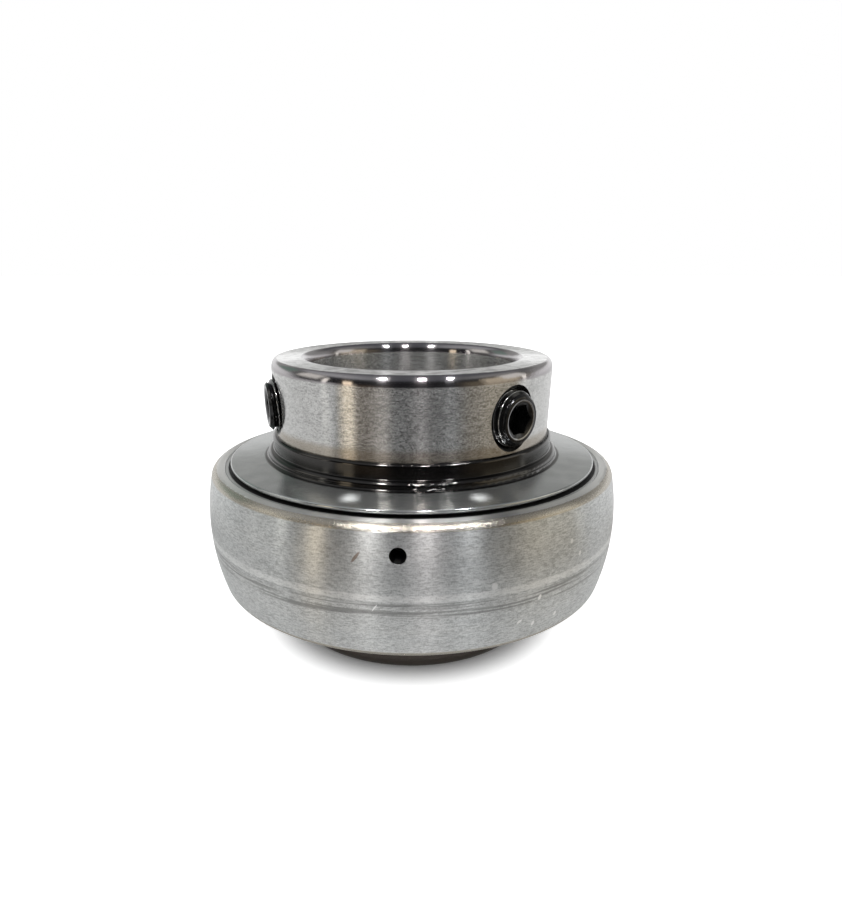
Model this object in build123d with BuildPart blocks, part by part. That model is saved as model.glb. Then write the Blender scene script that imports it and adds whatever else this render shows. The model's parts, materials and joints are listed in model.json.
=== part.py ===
from build123d import *
import os
from math import asin, cos, degrees, radians, sin, sqrt, tan

# Insert bearing for a 25 mm shaft, standing on the narrow end of its inner ring.
# Millimetres. The origin is on the bore axis in the foot's plane, +Z runs up the
# bore towards the set-screw collar, and -Y is the front.

# Rings: built outwards from the bore and up and down from the ball circle. They come out
# 52 mm across the sphere and 15 mm wide outside, 34.1 mm wide and 14.3 mm to the foot inside.
bore_diameter = 25.0
inner_ring_wall = 4.37
outer_ring_wall = 2.55
inner_race_depth = 1.349
outer_race_depth = 1.419
hub_to_foot = 3.2
hub_to_screws = 3.7
screws_to_collar_end = 5.0
collar_corner = (0.70, 1.15)
bore_corner = (0.75, 1.15)
outer_corner = 1.1

# Balls and raceways
ball_diameter = 7.938
ball_count = 9
race_clearance = 0.03
race_conformity = 1.035

# Ribbon cage
cage_thickness = 0.6
cage_width = 2.9
cage_bend_radius = 0.3
pocket_clearance = 0.12
rivet_diameter = 1.1
rivet_head_diameter = 2.0
rivet_head_height = 0.55

# Seals: steel shield in a recess of the outer ring, with rubber bonded to it
seal_above_cage = 0.911
seal_recess_step = 1.35
seal_recess_depth = 1.9
seal_sink = 0.1
recess_chamfer = 0.12
shield_thickness = 0.45
shield_gap = 1.43
shield_bend_radius = 0.3
shield_edge_radius = 0.12
lip_clearance = 0.03
lip_thickness = 0.3
lip_spread = 0.75
rubber_thickness = 0.5
rubber_bead_width = 1.2
rubber_bead_sink = 0.3

# Flingers, pressed on the inner ring; heights are above the outer ring's face
flinger_rim_clearance = 0.25
flinger_thickness = 0.5
flinger_hub_height = 3.6
flinger_dish_height = 0.95
flinger_rim_height = 0.58
flinger_grip = 0.01
flinger_hub_rounding = 0.4
flinger_foot_radius = 0.15
flinger_lip_flat = 0.05
flinger_step_wall = 0.1
flinger_bend_radius = 0.3
flinger_rim_rounding = 0.22

# Set screws, in tapped holes through the collar
screw_diameter = 6.0
screw_clearance = 0.05
screw_stand_out = 0.95
screw_set_back = 0.32
screw_azimuths = {"right": 40.4, "left": -71.7}
screw_end_chamfer = 0.5
screw_cup_diameter = 3.0
screw_cup_depth = 0.7
socket_across_flats = 3.0
socket_depth = 2.2
socket_rim = 0.4
socket_mouth_angle = 120.0
tapped_hole_mouth_diameter = 7.1
tapped_hole_mouth_angle = 90.0

# Oil hole through the outer ring
oil_hole_diameter = 1.7
oil_hole_below_recess = 1.1
oil_hole_azimuth = -3.0

# How far a drill runs past the wall it goes through, and when two points are the same
drill_overrun = 1.0
same_point = 0.01

bore_radius = bore_diameter / 2
collar_radius = bore_radius + inner_ring_wall
ball_radius = ball_diameter / 2
pitch_radius = collar_radius + ball_radius + race_clearance - inner_race_depth
outer_land_radius = pitch_radius + ball_radius + race_clearance - outer_race_depth
recess_radius = outer_land_radius + seal_recess_step
sphere_radius = recess_radius + outer_ring_wall
race_radius = ball_radius * race_conformity
ball_pitch_angle = 360 / ball_count

# Heights above the ball circle
pocket_radius = ball_radius + pocket_clearance
dome_radius = pocket_radius + cage_thickness
recess_floor = dome_radius + seal_above_cage
face_height = recess_floor + seal_recess_depth
hub_top = face_height + flinger_hub_height
collar_top = hub_top + hub_to_screws + screws_to_collar_end
foot_to_balls = hub_top + hub_to_foot
screw_height = foot_to_balls + hub_top + hub_to_screws

# Half section through the axis: x is the radius, y the height above the ball circle.
section = Plane(origin=(0, 0, foot_to_balls), x_dir=(1, 0, 0), z_dir=(0, -1, 0))
ball_plane = Plane.XY.offset(foot_to_balls)

os.makedirs("parts", exist_ok=True)


def radial_plane(azimuth, height, distance):
    """Plane facing outwards, at a distance from the bore axis; azimuth 0 is the front."""
    outward = Vector(sin(radians(azimuth)), -cos(radians(azimuth)), 0)
    return Plane(origin=outward * distance + Vector(0, 0, height), x_dir=(0, 0, 1), z_dir=outward)


# Outer ring: a spherical band with rounded corners, a raceway inside and a recess for
# a seal at each face. The oil hole opens between the balls and the upper seal.
face_edge_radius = sqrt(sphere_radius**2 - face_height**2)
outer_race_centre = pitch_radius + ball_radius + race_clearance - race_radius
outer_race_half_width = sqrt(race_radius**2 - (outer_land_radius - outer_race_centre) ** 2)
oil_hole_height = foot_to_balls + recess_floor - oil_hole_below_recess

with BuildPart() as outer_ring:
    with BuildSketch(section):
        with BuildLine():
            Polyline(
                (outer_land_radius, outer_race_half_width),
                (outer_land_radius, recess_floor),
                (recess_radius, recess_floor),
                (recess_radius, face_height),
                (face_edge_radius, face_height),
            )
            ThreePointArc(
                (face_edge_radius, face_height),
                (sphere_radius, 0),
                (face_edge_radius, -face_height),
            )
            Polyline(
                (face_edge_radius, -face_height),
                (recess_radius, -face_height),
                (recess_radius, -recess_floor),
                (outer_land_radius, -recess_floor),
                (outer_land_radius, -outer_race_half_width),
            )
            ThreePointArc(
                (outer_land_radius, -outer_race_half_width),
                (outer_race_centre + race_radius, 0),
                (outer_land_radius, outer_race_half_width),
            )
        make_face()
        fillet(vertices().filter_by(lambda v: v.X > recess_radius + recess_chamfer), outer_corner)
        recess_wall = vertices().filter_by(lambda v: abs(v.X - recess_radius) < same_point)
        chamfer(recess_wall.filter_by(lambda v: abs(v.Y) > recess_floor + same_point), recess_chamfer)
    revolve(axis=Axis.Z)
    with Locations(radial_plane(oil_hole_azimuth, oil_hole_height, sphere_radius)):
        Hole(radius=oil_hole_diameter / 2, depth=sphere_radius - outer_land_radius + drill_overrun)
outer_ring.part.label = "outer_ring"
export_step(outer_ring.part, "parts/outer_ring.step")


# Inner ring: wide, with the raceway nearer its foot and the collar above, which has two
# countersunk tapped holes. Each end is rounded outside and in the bore.
inner_race_centre = pitch_radius - ball_radius - race_clearance + race_radius
inner_race_half_width = sqrt(race_radius**2 - (inner_race_centre - collar_radius) ** 2)
ring_ends = {1: collar_top, -1: -foot_to_balls}

with BuildPart() as inner_ring:
    with BuildSketch(section):
        with BuildLine():
            for side, end in ring_ends.items():
                bore_edge = (bore_radius, end - side * bore_corner[1])
                bore_mouth = (bore_radius + bore_corner[0], end)
                face_edge = (collar_radius - collar_corner[0], end)
                side_edge = (collar_radius, end - side * collar_corner[1])
                EllipticalCenterArc(
                    (bore_mouth[0], bore_edge[1]), *bore_corner, start_angle=180, arc_size=-90 * side
                )
                Line(bore_mouth, face_edge)
                EllipticalCenterArc(
                    (face_edge[0], side_edge[1]), *collar_corner, start_angle=90 * side, arc_size=-90 * side
                )
                Line(side_edge, (collar_radius, side * inner_race_half_width))
            ThreePointArc(
                (collar_radius, inner_race_half_width),
                (inner_race_centre - race_radius, 0),
                (collar_radius, -inner_race_half_width),
            )
            Line((bore_radius, collar_top - bore_corner[1]), (bore_radius, bore_corner[1] - foot_to_balls))
        make_face()
    revolve(axis=Axis.Z)
    for azimuth in screw_azimuths.values():
        with Locations(radial_plane(azimuth, screw_height, collar_radius)):
            CounterSinkHole(
                radius=screw_diameter / 2,
                counter_sink_radius=tapped_hole_mouth_diameter / 2,
                depth=collar_radius - bore_radius + drill_overrun,
                counter_sink_angle=tapped_hole_mouth_angle,
            )
inner_ring.part.label = "inner_ring"
export_step(inner_ring.part, "parts/inner_ring.step")


# Balls, evenly spaced on the pitch circle.
for number in range(1, ball_count + 1):
    with BuildPart() as ball:
        with Locations(ball_plane):
            with PolarLocations(pitch_radius, 1, start_angle=number * ball_pitch_angle):
                Sphere(ball_radius)
    ball.part.label = f"ball_{number}"
    export_step(ball.part, f"parts/ball_{number}.step")


# Ribbon cage: two pressed rings that meet in the plane of the ball centres, each with a
# dome over every ball and a flat pad between balls, closed by a rivet through each pad.
cage_outer_radius = pitch_radius + cage_width / 2
cage_inner_radius = pitch_radius - cage_width / 2
dome_foot_radius = sqrt(dome_radius**2 - cage_thickness**2)

with BuildPart() as cage_upper:
    with BuildSketch(ball_plane):
        Circle(cage_outer_radius)
    extrude(amount=cage_thickness)
    with Locations(ball_plane):
        with PolarLocations(pitch_radius, ball_count):
            Sphere(dome_radius, arc_size1=0, align=(Align.CENTER, Align.CENTER, Align.MIN))
    bends = edges().filter_by(GeomType.CIRCLE).filter_by(lambda e: abs(e.radius - dome_foot_radius) < same_point)
    fillet(bends, cage_bend_radius)
    with BuildSketch(ball_plane):
        Circle(cage_outer_radius)
        Circle(cage_inner_radius, mode=Mode.SUBTRACT)
    extrude(amount=2 * dome_radius, mode=Mode.INTERSECT)
    with Locations(ball_plane):
        with PolarLocations(pitch_radius, ball_count):
            Sphere(pocket_radius, mode=Mode.SUBTRACT)
        with PolarLocations(pitch_radius, ball_count, start_angle=ball_pitch_angle / 2):
            Cylinder(rivet_diameter / 2, 4 * cage_thickness, mode=Mode.SUBTRACT)
cage_upper.part.label = "cage_upper"
export_step(cage_upper.part, "parts/cage_upper.step")

with BuildPart() as cage_lower:
    mirror(cage_upper.part, about=ball_plane)
cage_lower.part.label = "cage_lower"
export_step(cage_lower.part, "parts/cage_lower.step")


# Cage rivets: a shank as long as both pads are thick, with a domed head at each end.
rivet_head_radius = rivet_head_diameter / 2
dome_sphere_radius = (rivet_head_radius**2 + rivet_head_height**2) / (2 * rivet_head_height)
head_plane = cage_thickness + rivet_head_height - dome_sphere_radius
half_dome_angle = degrees(asin(rivet_head_radius / dome_sphere_radius))

with BuildPart() as rivet:
    with BuildSketch(Plane.XZ):
        with BuildLine():
            CenterArc((0, head_plane), dome_sphere_radius, start_angle=90, arc_size=-half_dome_angle)
            Polyline(
                (rivet_head_radius, cage_thickness),
                (rivet_diameter / 2, cage_thickness),
                (rivet_diameter / 2, -cage_thickness),
                (rivet_head_radius, -cage_thickness),
            )
            CenterArc((0, -head_plane), dome_sphere_radius, start_angle=-90, arc_size=half_dome_angle)
            Line((0, -cage_thickness - rivet_head_height), (0, cage_thickness + rivet_head_height))
        make_face()
    revolve(axis=Axis.Z)

with BuildPart() as cage_rivets:
    with Locations(ball_plane):
        with PolarLocations(pitch_radius, ball_count, start_angle=ball_pitch_angle / 2):
            add(rivet.part)
cage_rivets.part.label = "cage_rivets"
export_step(cage_rivets.part, "parts/cage_rivets.step")


# Seal shields: a flat steel ring on the floor of the recess, with a rim turned up along
# the recess wall. The rim ends a little below the outer ring's face.
shield_bore_radius = collar_radius + shield_gap
rim_inner_radius = recess_radius - shield_thickness
shield_top = recess_floor + shield_thickness

with BuildPart() as seal_shield_upper:
    with BuildSketch(section):
        with BuildLine():
            Polyline(
                (shield_bore_radius, recess_floor),
                (recess_radius, recess_floor),
                (recess_radius, face_height - seal_sink),
                (rim_inner_radius, face_height - seal_sink),
                (rim_inner_radius, shield_top),
                (shield_bore_radius, shield_top),
                close=True,
            )
        make_face()
        bend = vertices().filter_by(lambda v: v.X > shield_bore_radius + shield_thickness)
        fillet(bend.sort_by(Axis.Y)[0], shield_bend_radius + shield_thickness)
        fillet(vertices().sort_by_distance((rim_inner_radius, shield_top))[0], shield_bend_radius)
        fillet(vertices().group_by(Axis.Y)[-1], shield_edge_radius)
    revolve(axis=Axis.Z)
seal_shield_upper.part.label = "seal_shield_upper"
export_step(seal_shield_upper.part, "parts/seal_shield_upper.step")

with BuildPart() as seal_shield_lower:
    mirror(seal_shield_upper.part, about=ball_plane)
seal_shield_lower.part.label = "seal_shield_lower"
export_step(seal_shield_lower.part, "parts/seal_shield_lower.step")


# Seal rubber, bonded to the shield: a bead inside the rim, a layer over the flat ring and
# two lips round the inner edge, whose tips run on the inner ring.
lip_tip_radius = collar_radius + lip_clearance
lip_root_radius = shield_bore_radius - rubber_thickness
shield_middle = recess_floor + shield_thickness / 2
rubber_top = shield_top + rubber_thickness
rubber_bottom = recess_floor - lip_thickness
bead_top = face_height - rubber_bead_sink
bead_inner_radius = rim_inner_radius - rubber_bead_width

with BuildPart() as seal_lip_upper:
    with BuildSketch(section):
        with BuildLine():
            Polyline(
                (rim_inner_radius, shield_top),
                (rim_inner_radius, bead_top),
                (bead_inner_radius, bead_top),
                (bead_inner_radius - rubber_thickness, rubber_top),
                (shield_bore_radius, rubber_top),
                (lip_tip_radius + lip_thickness, shield_middle + lip_spread + lip_thickness),
                (lip_tip_radius, shield_middle + lip_spread),
                (lip_root_radius, shield_middle),
                (lip_tip_radius, shield_middle - lip_spread),
                (lip_tip_radius + lip_thickness, shield_middle - lip_spread - lip_thickness),
                (shield_bore_radius, rubber_bottom),
                (shield_bore_radius + rubber_thickness, rubber_bottom),
                (shield_bore_radius + rubber_thickness, recess_floor),
                (shield_bore_radius, recess_floor),
                (shield_bore_radius, shield_top),
                close=True,
            )
        make_face()
        fillet(vertices().sort_by_distance((rim_inner_radius, shield_top))[0], shield_bend_radius)
    revolve(axis=Axis.Z)
seal_lip_upper.part.label = "seal_lip_upper"
export_step(seal_lip_upper.part, "parts/seal_lip_upper.step")

with BuildPart() as seal_lip_lower:
    mirror(seal_lip_upper.part, about=ball_plane)
seal_lip_lower.part.label = "seal_lip_lower"
export_step(seal_lip_lower.part, "parts/seal_lip_lower.step")


# Flingers: one sheet, pressed to a hub that grips the inner ring, a narrow rounded lip, a
# step down and a shallow dish whose rim runs inside the shield's rim, clear of the rubber.
hub_inner_radius = collar_radius + flinger_grip
hub_outer_radius = hub_inner_radius + flinger_thickness
flinger_radius = rim_inner_radius - flinger_rim_clearance
flinger_lip_radius = hub_outer_radius + flinger_foot_radius + flinger_lip_flat + flinger_thickness
dish_top = face_height + flinger_dish_height
lip_top = dish_top + flinger_bend_radius + flinger_step_wall + flinger_thickness
under_bend = (flinger_lip_radius - flinger_thickness, dish_top - flinger_thickness)
rim_top = face_height + flinger_rim_height

with BuildPart() as flinger_upper:
    with BuildSketch(section):
        with BuildLine():
            Polyline(
                (hub_inner_radius, hub_top),
                (hub_outer_radius, hub_top),
                (hub_outer_radius, lip_top),
                (flinger_lip_radius, lip_top),
                (flinger_lip_radius, dish_top),
                (flinger_radius, rim_top),
                (flinger_radius, rim_top - flinger_thickness),
                under_bend,
                (flinger_lip_radius - flinger_thickness, lip_top - flinger_thickness),
                (hub_inner_radius, lip_top - flinger_thickness),
                close=True,
            )
        make_face()
        fillet(vertices().sort_by_distance((hub_outer_radius, hub_top))[0], flinger_hub_rounding)
        fillet(vertices().sort_by_distance((hub_outer_radius, lip_top))[0], flinger_foot_radius)
        fillet(vertices().sort_by_distance((flinger_lip_radius, lip_top))[0], flinger_thickness)
        fillet(vertices().sort_by_distance((flinger_lip_radius, dish_top))[0], flinger_bend_radius)
        fillet(vertices().sort_by_distance(under_bend)[0], flinger_bend_radius + flinger_thickness)
        fillet(vertices().group_by(Axis.X)[-1], flinger_rim_rounding)
    revolve(axis=Axis.Z)
flinger_upper.part.label = "flinger_upper"
export_step(flinger_upper.part, "parts/flinger_upper.step")

with BuildPart() as flinger_lower:
    mirror(flinger_upper.part, about=ball_plane)
flinger_lower.part.label = "flinger_lower"
export_step(flinger_lower.part, "parts/flinger_lower.step")


# Set screws: cup point at the bore's side, hexagon socket with a coned mouth outside.
screw_radius = screw_diameter / 2 - screw_clearance
screw_outer_end = collar_radius + screw_stand_out
screw_inner_end = bore_radius + screw_set_back
screw_cup_radius = screw_cup_diameter / 2
socket_mouth_radius = screw_radius - screw_end_chamfer - socket_rim
socket_mouth_depth = socket_mouth_radius / tan(radians(socket_mouth_angle / 2))

for side, azimuth in screw_azimuths.items():
    outer_end = radial_plane(azimuth, screw_height, screw_outer_end)
    screw_section = Plane(origin=(0, 0, screw_height), x_dir=outer_end.z_dir, z_dir=outer_end.y_dir)
    with BuildPart() as set_screw:
        with BuildSketch(screw_section):
            with BuildLine():
                Polyline(
                    (screw_inner_end + screw_cup_depth, 0),
                    (screw_inner_end, screw_cup_radius),
                    (screw_inner_end + screw_radius - screw_cup_radius, screw_radius),
                    (screw_outer_end - screw_end_chamfer, screw_radius),
                    (screw_outer_end, screw_radius - screw_end_chamfer),
                    (screw_outer_end, socket_mouth_radius),
                    (screw_outer_end - socket_mouth_depth, 0),
                    close=True,
                )
            make_face()
        revolve(axis=Axis((0, 0, screw_height), outer_end.z_dir))
        with BuildSketch(outer_end):
            RegularPolygon(socket_across_flats / 2, 6, major_radius=False)
        extrude(amount=-socket_depth, mode=Mode.SUBTRACT)
    set_screw.part.label = f"set_screw_{side}"
    export_step(set_screw.part, f"parts/set_screw_{side}.step")
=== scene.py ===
import json
import math

import bpy
import numpy as np
from mathutils import Matrix, Vector


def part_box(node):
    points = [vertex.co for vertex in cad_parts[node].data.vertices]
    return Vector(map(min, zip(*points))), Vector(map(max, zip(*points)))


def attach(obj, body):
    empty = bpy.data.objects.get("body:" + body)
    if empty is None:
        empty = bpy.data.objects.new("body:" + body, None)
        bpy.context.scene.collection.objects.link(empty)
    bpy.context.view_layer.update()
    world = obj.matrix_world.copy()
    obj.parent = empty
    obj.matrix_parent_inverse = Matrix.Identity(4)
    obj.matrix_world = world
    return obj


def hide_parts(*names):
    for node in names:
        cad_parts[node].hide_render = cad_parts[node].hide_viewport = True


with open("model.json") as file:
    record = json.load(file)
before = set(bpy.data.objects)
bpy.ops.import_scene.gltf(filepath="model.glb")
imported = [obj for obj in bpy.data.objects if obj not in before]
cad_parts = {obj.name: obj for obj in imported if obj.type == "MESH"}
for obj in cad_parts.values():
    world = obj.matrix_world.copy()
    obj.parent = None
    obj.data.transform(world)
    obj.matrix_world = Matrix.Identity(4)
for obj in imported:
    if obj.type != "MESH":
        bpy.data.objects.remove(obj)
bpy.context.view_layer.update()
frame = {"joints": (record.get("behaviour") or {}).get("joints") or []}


# Inner ring: through-hardened bearing steel, turned, tapped for its two set screws and then
# ground on its outside, in the bore and on its end faces. The rounded corners keep the
# lathe's bright cut, darkened a little in hardening.
def box(node):
    """A node's lowest and highest corners at rest, in millimetres."""
    return (1000.0 * np.array(corner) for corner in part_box(node))


# Lengths are in millimetres, as in the CAD, except where a Blender call needs metres
_, inner_high = box("inner_ring")
collar_radius, collar_top = inner_high[0], inner_high[2]
bore_radius = 12.5
collar_corner_height = 1.15
collar_corner_width = 0.70
bore_corner_width = 0.75
hole_mouth_radius = 3.55
screw_low, screw_high = box("set_screw_right")
screw_height = (screw_low[2] + screw_high[2]) / 2
screw_azimuths = {}
for joint in frame["joints"]:
    if joint["type"] == "slide":
        inward = joint["axis"]
        side_name = joint["child"].removeprefix("set_screw_")
        screw_azimuths[side_name] = math.degrees(math.atan2(-inward[0], inward[1]))


class Wire:
    """A socket in a material's node tree. Arithmetic on wires and numbers adds Math nodes."""

    def __init__(self, tree, socket=None):
        self.tree = tree
        self.socket = socket

    def add(self, kind, settings=None, inputs=None, output=0):
        """Adds a node, makes its settings, then sets or links its inputs, and gives an output."""
        node = self.tree.nodes.new(kind)
        for name, value in (settings or {}).items():
            setattr(node, name, value)
        for name, value in (inputs or {}).items():
            if isinstance(value, Wire):
                self.tree.links.new(value.socket, node.inputs[name])
            else:
                node.inputs[name].default_value = value
        return Wire(self.tree, node.outputs[output])

    def math(self, operation, *values):
        """A Math node that does an operation on values, each a wire or a number."""
        return self.add("ShaderNodeMath", {"operation": operation}, dict(enumerate(values)))

    def __add__(self, other):
        return self.math("ADD", self, other)

    def __sub__(self, other):
        return self.math("SUBTRACT", self, other)

    def __rsub__(self, other):
        return self.math("SUBTRACT", other, self)

    def __mul__(self, other):
        return self.math("MULTIPLY", self, other)

    def __truediv__(self, other):
        return self.math("DIVIDE", self, other)

    __radd__ = __add__
    __rmul__ = __mul__

    def rise(self, low, high):
        """0 below low, 1 above high and a smooth step between them."""
        inputs = {"Value": self, "From Min": low, "From Max": high}
        return self.add("ShaderNodeMapRange", {"interpolation_type": "SMOOTHSTEP"}, inputs)

    def band(self, low, high, soft):
        """1 between low and high, fading to 0 over soft on either side."""
        return self.rise(low - soft, low) * (1.0 - self.rise(high, high + soft))

    def blend(self, first, second):
        """Mixes two colours, each an RGB triple or a wire, by this wire (sockets: factor, A, B)."""
        pair = [c if isinstance(c, Wire) else (*c, 1.0) for c in (first, second)]
        inputs = {0: self, 6: pair[0], 7: pair[1]}
        return self.add("ShaderNodeMix", {"data_type": "RGBA"}, inputs, 2)


def hypotenuse(first, second):
    """The square root of the sum of two squares."""
    squares = first * first + second * second
    return squares.math("SQRT", squares)


def place(wire):
    """Object coordinates as wires in millimetres: x, y, z and the distance from the bore axis."""
    point = wire.add("ShaderNodeTexCoord", output="Object")
    scaled = wire.add("ShaderNodeVectorMath", {"operation": "SCALE"}, {0: point, "Scale": 1000.0})
    x, y, z = (wire.add("ShaderNodeSeparateXYZ", inputs={0: scaled}, output=axis) for axis in "XYZ")
    return x, y, z, hypotenuse(x, y)


def towards(x, y, azimuth):
    """Millimetres across and along the level direction at an azimuth (0 = front, 90 = right)."""
    side = math.radians(azimuth)
    across = x * math.cos(side) + y * math.sin(side)
    outward = x * math.sin(side) - y * math.cos(side)
    return across, outward


def lathe_marks(x, y, z, radius, along, across, detail=3.0):
    """Noise drawn out round the bore axis: along and across are its scales per millimetre."""
    vector = x.add("ShaderNodeCombineXYZ", inputs={0: x * along, 1: y * along, 2: z * across})
    inputs = {"Vector": vector, "W": radius * across, "Scale": 1.0, "Detail": detail}
    return x.add("ShaderNodeTexNoise", {"noise_dimensions": "4D"}, inputs)


def cloud(x, y, z, scale, detail=3.0):
    """Plain noise at a scale per millimetre."""
    vector = x.add("ShaderNodeCombineXYZ", inputs={0: x, 1: y, 2: z})
    return x.add("ShaderNodeTexNoise", inputs={"Vector": vector, "Scale": scale, "Detail": detail})


def relief(height, depth):
    """A bump in the skin: a height from 0 to 1 and how deep that is, in metres."""
    return height.add("ShaderNodeBump", inputs={"Height": height, "Strength": 1.0, "Distance": depth})


def finish(name, build, **constants):
    """Gives the material of a record slot a new node tree: build returns what varies over it."""
    material = bpy.data.materials[name]
    material.use_nodes = True
    tree = material.node_tree
    tree.nodes.clear()
    shader = tree.nodes.new("ShaderNodeBsdfPrincipled")
    output = tree.nodes.new("ShaderNodeOutputMaterial")
    tree.links.new(shader.outputs[0], output.inputs["Surface"])
    for key, value in constants.items():
        shader.inputs[key.replace("_", " ")].default_value = value
    for key, value in build(Wire(tree)).items():
        tree.links.new(value.socket, shader.inputs[key])


def inner_ring_steel(wire):
    """Ground steel, with polished corners and bright faces; the screw holes and the foot are coloured dark as
    painted shade.
    """
    x, y, z, radius = place(wire)
    grooves = lathe_marks(x, y, z, radius, 0.8, 16.0, 2.0)
    fine = 0.5 * (lathe_marks(x, y, z, radius, 2.2, 7.5, 1.0) + cloud(x, y, z, 6.5, 1.0))
    coarse = lathe_marks(x, y, z, radius, 0.5, 3.0)
    patch = cloud(x, y, z, 0.35)

    corner_start = collar_top - collar_corner_height
    flat_start = bore_radius + bore_corner_width + 0.07
    flat_end = collar_radius - collar_corner_width - 0.05
    corner = 1.0 - radius.band(flat_start, flat_end, 0.06)
    corner = corner * z.rise(corner_start - 0.05, corner_start + 0.10)
    foot_corner = (1.0 - z.rise(1.10, 1.30)) * radius.rise(16.0, 16.2)
    polished = (corner + foot_corner).math("MINIMUM", corner + foot_corner, 1.0)
    face = z.rise(collar_top - 0.08, collar_top - 0.02)
    # A brown band low on the collar wall, just above the flinger's hub.
    low_brown_band = z.band(25.0, 26.1, 0.9) * radius.rise(16.5, 16.8)
    # Painted shade: the lowest part of the ring's outside, next to the floor, is coloured dark brown-grey.
    foot_shade = (1.0 - z.rise(4.0, 6.0)) * radius.rise(15.2, 15.8)

    wall = patch.rise(0.3, 0.7).blend((0.56, 0.56, 0.55), (0.63, 0.63, 0.62))
    wall = (coarse.rise(0.35, 0.70) * 0.5).blend(wall, (0.68, 0.68, 0.67))
    wall = (fine.rise(0.48, 0.66) * 0.60).blend(wall, (0.28, 0.28, 0.275))
    wall = ((1.0 - fine.rise(0.34, 0.52)) * 0.55).blend(wall, (0.92, 0.92, 0.91))
    wall = (low_brown_band * 0.6).blend(wall, (0.33, 0.27, 0.19))
    mottle = cloud(x, y, z, 0.9, 4.0).rise(0.42, 0.66)
    wall = face.blend(wall, mottle.blend((0.80, 0.80, 0.79), (0.52, 0.52, 0.51)))
    wall = polished.blend(wall, (0.43, 0.41, 0.42))
    wall = foot_shade.blend(wall, (0.15, 0.13, 0.115))

    under_skin = radius.rise(bore_radius + 0.02, bore_radius + 0.10)
    under_skin = under_skin * (1.0 - radius.rise(collar_radius - 0.03, collar_radius))
    # Painted shade: the walls of the tapped holes are coloured near black for the shade inside them.
    hole_shade = None
    for azimuth in screw_azimuths.values():
        across, outward = towards(x, y, azimuth)
        distance = hypotenuse(across, z - screw_height)
        one_hole_shade = 1.0 - distance.rise(hole_mouth_radius - 0.05, hole_mouth_radius + 0.05)
        one_hole_shade = one_hole_shade * outward.rise(5.0, 6.0) * under_skin
        hole_shade = one_hole_shade if hole_shade is None else hole_shade + one_hole_shade
    colour = hole_shade.blend(wall, (0.022, 0.021, 0.020))

    ground = (1.0 - polished) * (1.0 - face) * (1.0 - hole_shade)
    roughness = 0.22 + 0.04 * (fine - 0.5) - 0.08 * polished
    metal = 1.0 - ground * (0.15 - 0.5 * (fine - 0.5))
    bump = relief(grooves * (0.04 + 0.96 * ground), 0.000006)
    return {"Base Color": colour, "Roughness": roughness, "Metallic": metal, "Normal": bump}


finish("inner_ring_steel", inner_ring_steel, Anisotropic=1.0, Anisotropic_Rotation=0.25)


# Balls, ribbon cage and its rivets: lapped bearing steel between two rings pressed from
# strip, which the rivets close. They run behind the seals.
def ball_steel(wire):
    """A mirror lap with the faintest haze."""
    x, y, z, radius = place(wire)
    haze = cloud(x, y, z, 2.5)
    colour = haze.rise(0.3, 0.7).blend((0.70, 0.70, 0.70), (0.78, 0.78, 0.77))
    return {"Base Color": colour, "Roughness": 0.06 + 0.05 * haze}


def pressed_steel(dark, pale):
    """Barrel-tumbled strip: soft mottling and fine dents, between two greys."""

    def build(wire):
        x, y, z, radius = place(wire)
        mottle = cloud(x, y, z, 1.2, 5.0)
        bump = relief(cloud(x, y, z, 9.0, 2.0), 0.000006)
        colour = mottle.rise(0.3, 0.7).blend(dark, pale)
        return {"Base Color": colour, "Roughness": 0.28 + 0.2 * mottle, "Normal": bump}

    return build


finish("ball_steel", ball_steel, Metallic=1.0)
finish("cage_steel", pressed_steel((0.42, 0.42, 0.41), (0.52, 0.52, 0.51)), Metallic=1.0)
finish("rivet_steel", pressed_steel((0.50, 0.48, 0.44), (0.60, 0.58, 0.55)), Metallic=1.0)


# Outer ring: bearing steel, its outside ground to a sphere and its corners turned before
# hardening, which leaves them straw-coloured. The oil hole is drilled through.
outer_low, outer_high = box("outer_ring")
outer_foot, outer_top = outer_low[2], outer_high[2]
oil_hole_azimuth = -3.0
oil_hole_height = 18.8
oil_hole_radius = 0.85

# A brown scratch, a pale one and pale nicks: azimuth, height, half length, half width, lean
# from upright in degrees, strength and colour
pale_nick = (0.98, 0.98, 0.97)
ring_marks = [
    (-12.3, 18.50, 0.72, 0.17, 37.0, 0.85, (0.26, 0.19, 0.15)),
    (-8.2, 13.27, 0.50, 0.08, 35.0, 0.90, pale_nick),
    (18.5, 15.11, 0.45, 0.36, 0.0, 0.80, pale_nick),
    (31.0, 12.64, 0.34, 0.22, 20.0, 0.95, pale_nick),
    (30.4, 9.37, 0.32, 0.22, 10.0, 0.95, pale_nick),
    (26.1, 10.15, 0.36, 0.18, 60.0, 0.90, pale_nick),
    (37.6, 9.60, 0.32, 0.24, 0.0, 0.85, pale_nick),
    (44.0, 16.07, 0.28, 0.26, 0.0, 0.85, pale_nick),
    (40.6, 17.85, 0.28, 0.24, 0.0, 0.80, pale_nick),
]


def mark(x, y, z, azimuth, height, length, width, lean):
    """An oval spot on the outside: 1 where (along / half length) squared plus (across / half width)
    squared is under 0.4, and 0 where it is over 1.3."""
    across, outward = towards(x, y, azimuth)
    tilt = math.radians(lean)
    up = z - height
    long_way = (across * math.sin(tilt) + up * math.cos(tilt)) / length
    short_way = (across * math.cos(tilt) - up * math.sin(tilt)) / width
    return (1.0 - (long_way * long_way + short_way * short_way).rise(0.4, 1.3)) * outward.rise(5.0, 6.0)


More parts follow.
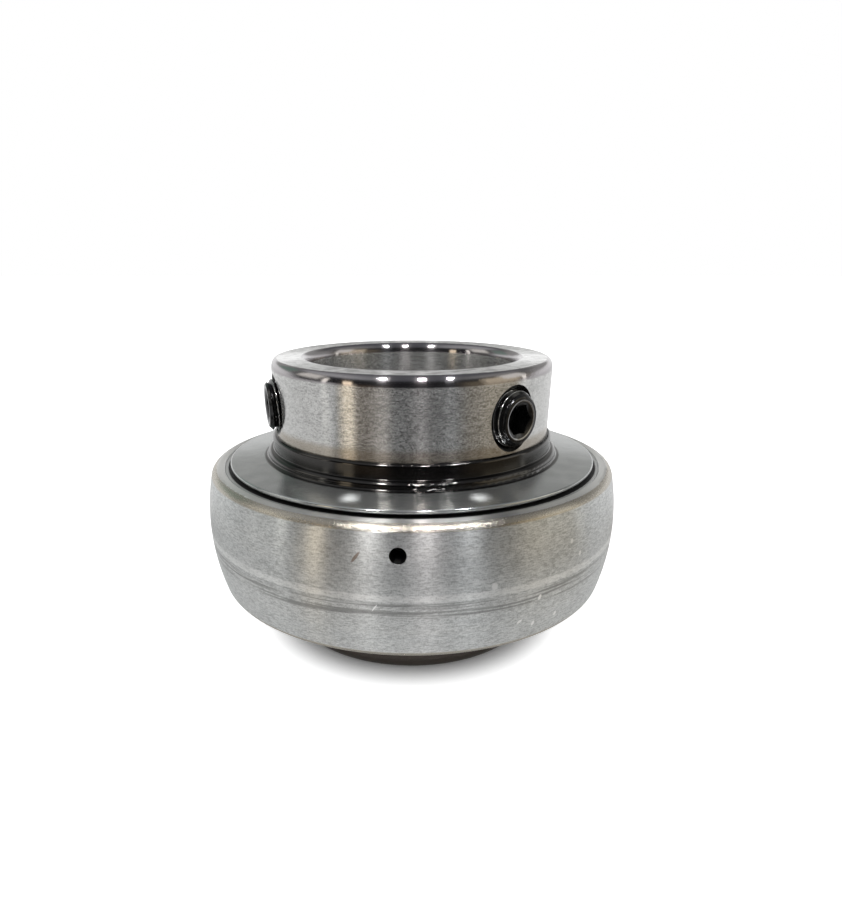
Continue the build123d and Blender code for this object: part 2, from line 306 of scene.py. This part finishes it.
def outer_ring_steel(wire):
    """Ground sphere with grinding lines, straw-tinted corners, a satin face and an oil hole coloured dark as
    painted shade.
    """
    x, y, z, radius = place(wire)
    grooves = lathe_marks(x, y, z, radius, 0.8, 16.0, 2.0)
    fine = 0.6 * lathe_marks(x, y, z, radius, 1.7, 6.8, 1.0) + 0.4 * cloud(x, y, z, 6.5, 1.0)
    lines = lathe_marks(x, y, z, radius, 0.10, 5.0, 2.0)
    broad = lathe_marks(x, y, z, radius, 0.03, 0.45, 1.0)
    patch = cloud(x, y, z, 0.25)
    grain = cloud(x, y, z, 3.2, 4.0)

    depth = z.math("MINIMUM", z - outer_foot, outer_top - z)
    face = 1.0 - depth.rise(0.02, 0.10)
    tinted = radius.rise(23.7, 23.95) * (1.0 - depth.rise(0.65, 0.85)) * depth.rise(0.01, 0.08)
    dark_lines = lines.rise(0.46, 0.60) * z.band(12.3, 13.6, 0.4)
    pale_line = z.band(14.1, 14.6, 0.25) * (1.0 - fine)

    sphere = patch.rise(0.3, 0.7).blend((0.60, 0.615, 0.61), (0.66, 0.675, 0.67))
    sphere = (broad.rise(0.40, 0.65) * 0.4).blend(sphere, (0.68, 0.685, 0.67))
    sphere = (grain.rise(0.40, 0.66) * 0.15).blend(sphere, (0.40, 0.40, 0.395))
    sphere = (fine.rise(0.48, 0.66) * 0.50).blend(sphere, (0.28, 0.285, 0.28))
    sphere = ((1.0 - fine.rise(0.34, 0.52)) * 0.46).blend(sphere, (0.94, 0.95, 0.94))
    sphere = (dark_lines * 0.75).blend(sphere, (0.26, 0.26, 0.255))
    sphere = (pale_line * 1.1).blend(sphere, (0.97, 0.975, 0.96))
    for *spot, strength, tint in ring_marks:
        sphere = (mark(x, y, z, *spot) * strength).blend(sphere, tint)
    sphere = tinted.blend(sphere, (0.53, 0.495, 0.43))
    colour = face.blend(sphere, (0.84, 0.84, 0.82))

    across, outward = towards(x, y, oil_hole_azimuth)
    distance = hypotenuse(across, z - oil_hole_height)
    # Painted shade: the inside of the oil hole is coloured near black.
    inside = (1.0 - distance.rise(oil_hole_radius + 0.01, oil_hole_radius + 0.03)) * outward.rise(5.0, 6.0)
    inside = inside * (1.0 - radius.rise(25.52, 25.60)) * radius.rise(22.2, 22.3)
    colour = inside.blend(colour, (0.03, 0.03, 0.03))

    ground = (1.0 - tinted) * (1.0 - face)
    roughness = 0.31 + 0.04 * (fine - 0.5) - 0.04 * tinted
    metal = 1.0 - ground * (0.16 - 0.3 * (fine - 0.5))
    sparkle = cloud(x, y, z, 6.0, 3.0)
    bump = relief(ground * grooves + tinted * sparkle * 2.0 + 0.03 * face * fine, 0.000012)
    return {"Base Color": colour, "Roughness": roughness, "Metallic": metal, "Normal": bump}


finish("outer_ring_steel", outer_ring_steel, Anisotropic=1.0, Anisotropic_Rotation=0.25)


# Seals: a satin sheet-steel shield, pressed into the outer ring, with black nitrile rubber
# bonded to it.
def shield_steel(wire):
    """Pressed sheet with a satin surface and faint drawing lines."""
    x, y, z, radius = place(wire)
    fine = lathe_marks(x, y, z, radius, 0.2, 8.0)
    colour = fine.rise(0.3, 0.7).blend((0.52, 0.53, 0.52), (0.62, 0.63, 0.62))
    return {"Base Color": colour, "Roughness": 0.30 + 0.1 * fine, "Normal": relief(fine, 0.000002)}


def seal_rubber(wire):
    """Moulded black rubber with a trace of grease."""
    x, y, z, radius = place(wire)
    mottle = cloud(x, y, z, 1.5, 4.0)
    bump = relief(cloud(x, y, z, 12.0, 2.0), 0.000008)
    colour = mottle.rise(0.35, 0.7).blend((0.006, 0.006, 0.006), (0.014, 0.014, 0.014))
    return {"Base Color": colour, "Roughness": 0.45 + 0.2 * mottle, "Normal": bump}


finish("shield_steel", shield_steel, Metallic=1.0, Anisotropic=0.5, Anisotropic_Rotation=0.25)
finish("seal_rubber", seal_rubber)


# Flingers: sheet steel, pressed and polished on a spindle, which leaves fine rings on the
# dish. The hub grips the inner ring.
def flinger_steel(wire):
    """A near mirror with fine polishing rings on the dish, and a plainer hub coloured near black as a painted
    dark reflection.
    """
    x, y, z, radius = place(wire)
    fine = lathe_marks(x, y, z, radius, 0.12, 10.0)
    soft = cloud(x, y, z, 0.4, 4.0)
    dish = radius.rise(18.4, 18.7)
    colour = soft.rise(0.3, 0.7).blend((0.44, 0.455, 0.45), (0.51, 0.525, 0.52))
    # Painted dark reflection: the hub's colour is near black, so the polished hub shows dark.
    colour = dish.blend((0.06, 0.058, 0.056), colour)
    roughness = 0.13 + dish * (0.02 + 0.06 * fine) + 0.03 * soft
    bump = relief(fine * dish, 0.0000003)
    return {"Base Color": colour, "Roughness": roughness, "Metallic": 1.0 - 0.17 * dish, "Normal": bump}


finish("flinger_steel", flinger_steel, Anisotropic=0.8, Anisotropic_Rotation=0.25)


# Set screws: hexagon-socket cup-point screws, thread-rolled, hardened and blackened, in
# tapped holes that run through the collar.
screw_radius = (screw_high[2] - screw_low[2]) / 2
screw_length = 5.0
screw_outer_end = collar_radius + 0.95
screw_inner_end = screw_outer_end - screw_length
screw_end_radius = 2.40
screw_cup_radius = 1.5
screw_cup_depth = 0.7
thread_pitch = 0.75
thread_depth = 0.41
socket_flat = 1.5
socket_depth = 2.2
socket_mouth = 2.05
socket_cone = math.tan(math.radians(60))
socket_drill_radius = 0.75
socket_drill_depth = 0.45
socket_rim_flat = 0.03
edge_break = 0.02
tapped_wall = 2.99
tapped_depth = 0.37
tapped_back = 3.05
tapped_start = bore_radius + 0.25
tapped_end = collar_radius - 0.82
tapped_run_out = 0.3
merge_distance_m = 0.0000001
sharp_angle = math.radians(35)
loop_turn = np.linspace(0.0, 1.0, 120, endpoint=False)
loop_angle = 2 * np.pi * loop_turn


def thread_ridge(turn, distance):
    """A 60-degree thread: 1 on the crest, a pitch / 8 wide, and 0 in the root, a pitch / 4 wide."""
    phase = np.mod(distance / thread_pitch - turn, 1.0)
    half_crest, half_foot = 1 / 16, 3 / 8
    return np.clip((half_foot - np.abs(phase - 0.5)) / (half_foot - half_crest), 0.0, 1.0)


def loops(radius, distance):
    """Loops of points round the screw's own axis, from the radius and the distance at each point."""
    radius, distance, angle = np.broadcast_arrays(radius, distance, loop_angle)
    return np.stack([radius * np.cos(angle), radius * np.sin(angle), distance], axis=-1)


def screw_points():
    """The screw's skin: up the socket, down the thread, which a cone trims at each end, and into the cup."""
    hexagon = socket_flat / np.cos(np.mod(loop_angle, np.pi / 3) - np.pi / 6)
    mouth_edge = screw_outer_end - (socket_mouth - hexagon) / socket_cone
    socket_floor = screw_outer_end - socket_depth
    socket = [
        loops(0.0, socket_floor - socket_drill_depth), loops(socket_drill_radius, socket_floor),
        loops(hexagon, socket_floor), loops(hexagon, mouth_edge), loops(socket_mouth, screw_outer_end),
        loops(socket_mouth + socket_rim_flat, screw_outer_end), loops(screw_end_radius, screw_outer_end),
    ]
    distance = np.linspace(screw_outer_end - edge_break, screw_inner_end + edge_break, 150)[:, None]
    crest = screw_radius - thread_depth * (1.0 - thread_ridge(loop_turn, distance))
    outer_cone = screw_end_radius + edge_break + (screw_outer_end - distance)
    inner_cone = screw_cup_radius + 2 * edge_break + (distance - screw_inner_end)
    thread = loops(np.minimum(crest, np.minimum(outer_cone, inner_cone)), distance)
    cup = [loops(screw_cup_radius, screw_inner_end), loops(0.0, screw_inner_end + screw_cup_depth)]
    return np.array([*socket, *thread, *cup])


def tapped_thread_points():
    """The ridge that the tap leaves in a hole, half a pitch from the screw's, closed inside the wall."""
    distance = np.linspace(tapped_start, tapped_end, 100)[:, None]
    to_end = np.minimum(distance - tapped_start, tapped_end - distance)
    fade = np.clip(to_end / tapped_run_out, 0.0, 1.0)
    ridge = thread_ridge(loop_turn, distance + thread_pitch / 2) * fade
    thread = loops(tapped_wall - tapped_depth * ridge, distance)
    return np.array([*thread, loops(tapped_back, tapped_end), loops(tapped_back, tapped_start), thread[0]])


def place_round(name, points, azimuth, slot, body, replaced=None):
    """Skins rows of loops made along z, and turns z to a screw's azimuth: across, up and outwards."""
    side = math.radians(azimuth)
    outward = np.array([math.sin(side), -math.cos(side), 0.0])
    up = np.array([0.0, 0.0, 1.0])
    across = np.cross(up, outward)
    placed = points[..., :1] * across + points[..., 1:2] * up + points[..., 2:] * outward + screw_height * up
    index = np.arange(points[..., 0].size).reshape(points.shape[:2])
    right = np.roll(index, -1, axis=1)
    quads = np.stack([index[:-1], right[:-1], right[1:], index[1:]], axis=-1)
    mesh = bpy.data.meshes.new(name)
    mesh.from_pydata((placed / 1000.0).reshape(-1, 3).tolist(), [], quads.reshape(-1, 4).tolist())
    piece = bpy.data.objects.new(name, mesh)
    bpy.context.scene.collection.objects.link(piece)
    bpy.context.view_layer.objects.active = piece
    bpy.ops.object.select_all(action="DESELECT")
    piece.select_set(True)
    bpy.ops.object.mode_set(mode="EDIT")
    bpy.ops.mesh.select_all(action="SELECT")
    bpy.ops.mesh.remove_doubles(threshold=merge_distance_m)
    bpy.ops.mesh.dissolve_degenerate(threshold=merge_distance_m)
    bpy.ops.mesh.normals_make_consistent(inside=False)
    bpy.ops.object.mode_set(mode="OBJECT")
    mesh.shade_smooth()
    mesh.set_sharp_from_angle(angle=sharp_angle)
    mesh.materials.append(bpy.data.materials[slot])
    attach(piece, body)
    if replaced:
        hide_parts(replaced)


def screw_steel(wire):
    """Black oxide over rolled steel: glossy, with worn grey on the crests, and a grey ring on the socket's
    rim that is partly wear and partly a painted highlight.
    """
    x, y, z, radius = place(wire)
    mottle = cloud(x, y, z, 1.4, 4.0)
    colour = mottle.rise(0.4, 0.75).blend((0.030, 0.030, 0.031), (0.060, 0.060, 0.060))
    for azimuth in screw_azimuths.values():
        across, outward = towards(x, y, azimuth)
        distance = hypotenuse(across, z - screw_height)
        near = outward.rise(14.5, 15.5) * (1.0 - distance.rise(screw_radius + 0.05, screw_radius + 0.15))
        crests = near * distance.rise(screw_radius - 0.11, screw_radius - 0.01)
        colour = crests.blend(colour, (0.40, 0.40, 0.39))
        # Partly wear and partly a painted highlight: a narrow grey ring round the socket's mouth.
        socket_rim_highlight = near * outward.rise(screw_outer_end - 0.16, screw_outer_end - 0.06)
        socket_rim_highlight = socket_rim_highlight * distance.band(socket_mouth - 0.07, socket_mouth + 0.07, 0.04)
        colour = socket_rim_highlight.blend(colour, (0.34, 0.35, 0.37))
    bump = relief(cloud(x, y, z, 14.0, 2.0), 0.000003)
    return {"Base Color": colour, "Roughness": 0.09 + 0.10 * mottle, "Normal": bump}


finish("screw_steel", screw_steel, Metallic=0.9, Specular_IOR_Level=0.6)
for side_name, azimuth in screw_azimuths.items():
    screw = f"set_screw_{side_name}"
    place_round(f"{screw}_threaded", screw_points(), azimuth, "screw_steel", screw, screw)
    place_round(f"tapped_thread_{side_name}", tapped_thread_points(), azimuth, "inner_ring_steel", "inner")


# Stage: a white floor and a sky of even light, and what the polished steel sees in place of
# them: a dark room in front, with pale patches at its sides, and a white sweep behind.
def stage_floor():
    """A flat white floor that keeps the bearing's shadow; reflections far from it see the dark room."""
    reach = 3.0
    mesh = bpy.data.meshes.new("floor")
    corners = [(-reach, -reach, 0), (reach, -reach, 0), (reach, reach, 0), (-reach, reach, 0)]
    mesh.from_pydata(corners, [], [(0, 1, 2, 3)])
    floor = bpy.data.objects.new("floor", mesh)
    bpy.context.scene.collection.objects.link(floor)
    material = bpy.data.materials.new("floor_white")
    material.use_nodes = True
    tree = material.node_tree
    tree.nodes.clear()
    wire = Wire(tree)
    x, y, z, radius = place(wire)
    glossy = wire.add("ShaderNodeLightPath", output="Is Glossy Ray")
    camera = wire.add("ShaderNodeLightPath", output="Is Camera Ray")
    azimuth = x.math("ARCTAN2", x, 0.0 - y) * (180 / math.pi)

    white = wire.add("ShaderNodeBsdfDiffuse", inputs={"Color": (0.94, 0.94, 0.94, 1.0)})
    lift = camera * radius.rise(16.0, 22.0) * 0.85
    glow = wire.add("ShaderNodeEmission", inputs={"Color": (1.0, 1.0, 1.0, 1.0), "Strength": lift})
    lit = wire.add("ShaderNodeAddShader", inputs={0: white, 1: glow})

    seen = azimuth.band(-42.0, -22.0, 10.0).blend((0.032, 0.032, 0.033), (0.17, 0.13, 0.09))
    seen = azimuth.rise(30.0, 50.0).blend(seen, (0.20, 0.165, 0.12))
    seen = (azimuth.band(-54.0, -45.0, 5.0) * radius.rise(70.0, 90.0)).blend(seen, (0.95, 0.84, 0.68))
    room = wire.add("ShaderNodeEmission", inputs={"Color": seen, "Strength": 1.0})

    far = radius.rise(58.0, 80.0) * (1.0 - azimuth.band(-52.0, 84.0, 12.0))
    dark = radius.rise(44.0, 62.0) * azimuth.band(-120.0, 120.0, 10.0) * (1.0 - far) * glossy
    both = wire.add("ShaderNodeMixShader", inputs={0: dark, 1: lit, 2: room})
    output = tree.nodes.new("ShaderNodeOutputMaterial")
    tree.links.new(both.socket, output.inputs["Surface"])
    mesh.materials.append(material)


def stage_world():
    """White to the eye and to soft light; to reflections a white sweep behind and a dim room in front."""
    world = bpy.data.worlds.new("studio")
    bpy.context.scene.world = world
    world.use_nodes = True
    tree = world.node_tree
    tree.nodes.clear()
    wire = Wire(tree)
    direction = wire.add("ShaderNodeTexCoord", output="Generated")
    x, y, z = (wire.add("ShaderNodeSeparateXYZ", inputs={0: direction}, output=axis) for axis in "XYZ")
    azimuth = x.math("ARCTAN2", x, 0.0 - y) * (180 / math.pi)
    elevation = z.math("ARCSINE", z) * (180 / math.pi)
    either_side = azimuth.math("ABSOLUTE", azimuth)

    overhead = x.rise(-0.75, -0.10).blend((0.60, 0.61, 0.62), (0.15, 0.155, 0.17))
    overhead = x.rise(0.35, 0.80).blend(overhead, (0.40, 0.40, 0.39))
    room = elevation.rise(28.0, 44.0).blend((0.012, 0.012, 0.014), overhead)

    back = either_side.rise(95.0, 125.0)
    right_wall = azimuth.rise(30.0, 50.0) * (1.0 - elevation.rise(12.0, 24.0))
    doorway = azimuth.band(62.0, 88.0, 8.0) * elevation.band(-2.0, 24.0, 8.0)
    curtain = (x - 0.414 * y).band(-0.55, -0.45, 0.03) * (0.0 - y).rise(-0.1, 0.1)
    strips = azimuth.band(97.0, 100.0, 1.5) + azimuth.band(-73.0, -70.0, 1.5)
    patches = [
        (right_wall, (0.20, 0.17, 0.12)),
        (doorway, (0.80, 0.70, 0.52)),
        (back * (1.0 - elevation.rise(22.0, 42.0)), (0.40, 0.40, 0.39)),
        (back * (1.0 - elevation.rise(9.0, 15.0)), (1.0, 1.0, 1.0)),
        (curtain * elevation.band(-2.0, 12.0, 8.0), (2.4, 2.0, 1.45)),
        (strips * elevation.band(-5.0, 20.0, 8.0), (1.8, 1.75, 1.6)),
        (either_side.band(82.0, 100.0, 8.0) * elevation.band(16.0, 30.0, 8.0), (1.1, 1.08, 1.0)),
        (azimuth.band(-140.0, -118.0, 5.0) * elevation.band(16.0, 30.0, 5.0), (0.25, 0.33, 0.29)),
    ]
    for patch, patch_colour in patches:
        room = patch.blend(room, patch_colour)

    glossy = wire.add("ShaderNodeLightPath", output="Is Glossy Ray")
    camera = wire.add("ShaderNodeLightPath", output="Is Camera Ray")
    colour = glossy.blend(camera.blend((0.85, 0.85, 0.85), (1.0, 1.0, 1.0)), room)
    sky = wire.add("ShaderNodeBackground", inputs={"Color": colour, "Strength": 1.0})
    output = tree.nodes.new("ShaderNodeOutputWorld")
    tree.links.new(sky.socket, output.inputs["Surface"])


stage_floor()
stage_world()


# Lamps: three tubes under the ceiling, whose reflections run down the front of the ring and
# the collar, and two small lamps behind snoots, each for one soft highlight on the dish.
def hang(name, light, place_and_turn):
    """Puts a light in the scene for polished steel only: it adds nothing to soft light."""
    lamp = bpy.data.objects.new(name, light)
    bpy.context.scene.collection.objects.link(lamp)
    lamp.matrix_world = place_and_turn
    lamp.visible_camera = False
    lamp.visible_diffuse = False


def studio_light(name, ends, width, brightness, colour):
    """A straight light between two points in metres that faces the bearing, in times as bright as white."""
    low, high = (Vector(end) for end in ends)
    light = bpy.data.lights.new(name, "AREA")
    light.shape = "RECTANGLE"
    light.size = width
    light.size_y = (high - low).length
    light.energy = brightness * math.pi * light.size * light.size_y
    light.color = colour
    along = (high - low).normalized()
    across = along.cross(low + high).normalized()
    turn = Matrix((across, along, across.cross(along))).transposed()
    hang(name, light, Matrix.Translation((low + high) / 2) @ turn.to_4x4())


# Where the camera below and the mirroring part of the ring's wall are, in millimetres, and how
# far away in metres and how high in degrees the tubes run; then the length of a beam in metres
eye = np.array([0.0, -80.2, 43.8])
mirror_radius, mirror_height = 25.6, 19.5
tube_distance = 0.6
tube_elevations = (52.0, 60.0)
beam_length = 0.10
beam_angle = math.radians(1.0)


def streak_light(name, azimuth, width, brightness, colour):
    """A straight light that the ring's wall mirrors to the eye. The level part of the way to each end
    is a multiple of outwards less the sight line, as long as a unit vector's at that elevation."""
    side = math.radians(azimuth)
    outward = np.array([math.sin(side), -math.cos(side)])
    sight = eye - np.array([*(mirror_radius * outward), mirror_height])
    sight = sight / np.linalg.norm(sight)
    ends = []
    for elevation in tube_elevations:
        level, up = math.cos(math.radians(elevation)), math.sin(math.radians(elevation))
        facing = outward @ sight[:2]
        reach = facing + math.sqrt(facing ** 2 - sight[:2] @ sight[:2] + level ** 2)
        ends.append([*(tube_distance * (reach * outward - sight[:2])), tube_distance * up])
    studio_light(name, ends, width, brightness, colour)


def beam_light(name, target, direction, power):
    """A small lamp behind a snoot, a beam's length from the spot that it lights (in metres), that way out."""
    light = bpy.data.lights.new(name, "SPOT")
    light.energy = power
    light.spot_size = beam_angle
    light.spot_blend = 1.0
    light.shadow_soft_size = 0.0008
    direction = Vector(direction).normalized()
    turn = direction.to_track_quat("Z", "Y").to_matrix().to_4x4()
    hang(name, light, Matrix.Translation(Vector(target) + beam_length * direction) @ turn)


streak_light("light_left", -9.0, 0.040, 125.0, (1.0, 0.98, 0.97))
streak_light("light_middle", 3.0, 0.040, 110.0, (1.0, 0.94, 0.94))
streak_light("light_right", 12.0, 0.030, 100.0, (0.97, 0.98, 1.0))
beam_light("beam_left", (-0.00627, -0.0196, 0.02227), (-0.25, 0.32, 0.91), 2.6)
beam_light("beam_right", (0.00695, -0.0194, 0.02226), (0.26, 0.32, 0.91), 3.0)


# Camera: low and close in front of the bearing, looking a little down at it, at the
# photograph's viewing angle. Its rays run parallel to the photograph's.
photo_width, photo_height = 842, 900
photo_centre_x, photo_centre_y = 411.8, 569.05
photo_focal_length = 629.765
look_down = 25.691
camera_data = bpy.data.cameras.new("camera")
camera_data.sensor_width = 36.0
camera_data.lens = photo_focal_length / photo_height * camera_data.sensor_width
camera_data.shift_x = (photo_width / 2 - photo_centre_x) / photo_height
camera_data.shift_y = (photo_centre_y - photo_height / 2) / photo_height
camera_data.clip_start = 0.001
camera = bpy.data.objects.new("camera", camera_data)
bpy.context.scene.collection.objects.link(camera)
camera.location = (0.0, -0.0802012, 0.0437638)
camera.rotation_euler = (math.radians(90 - look_down), 0.0, 0.0)
bpy.context.scene.camera = camera

bpy.context.scene.view_settings.view_transform = "Standard"
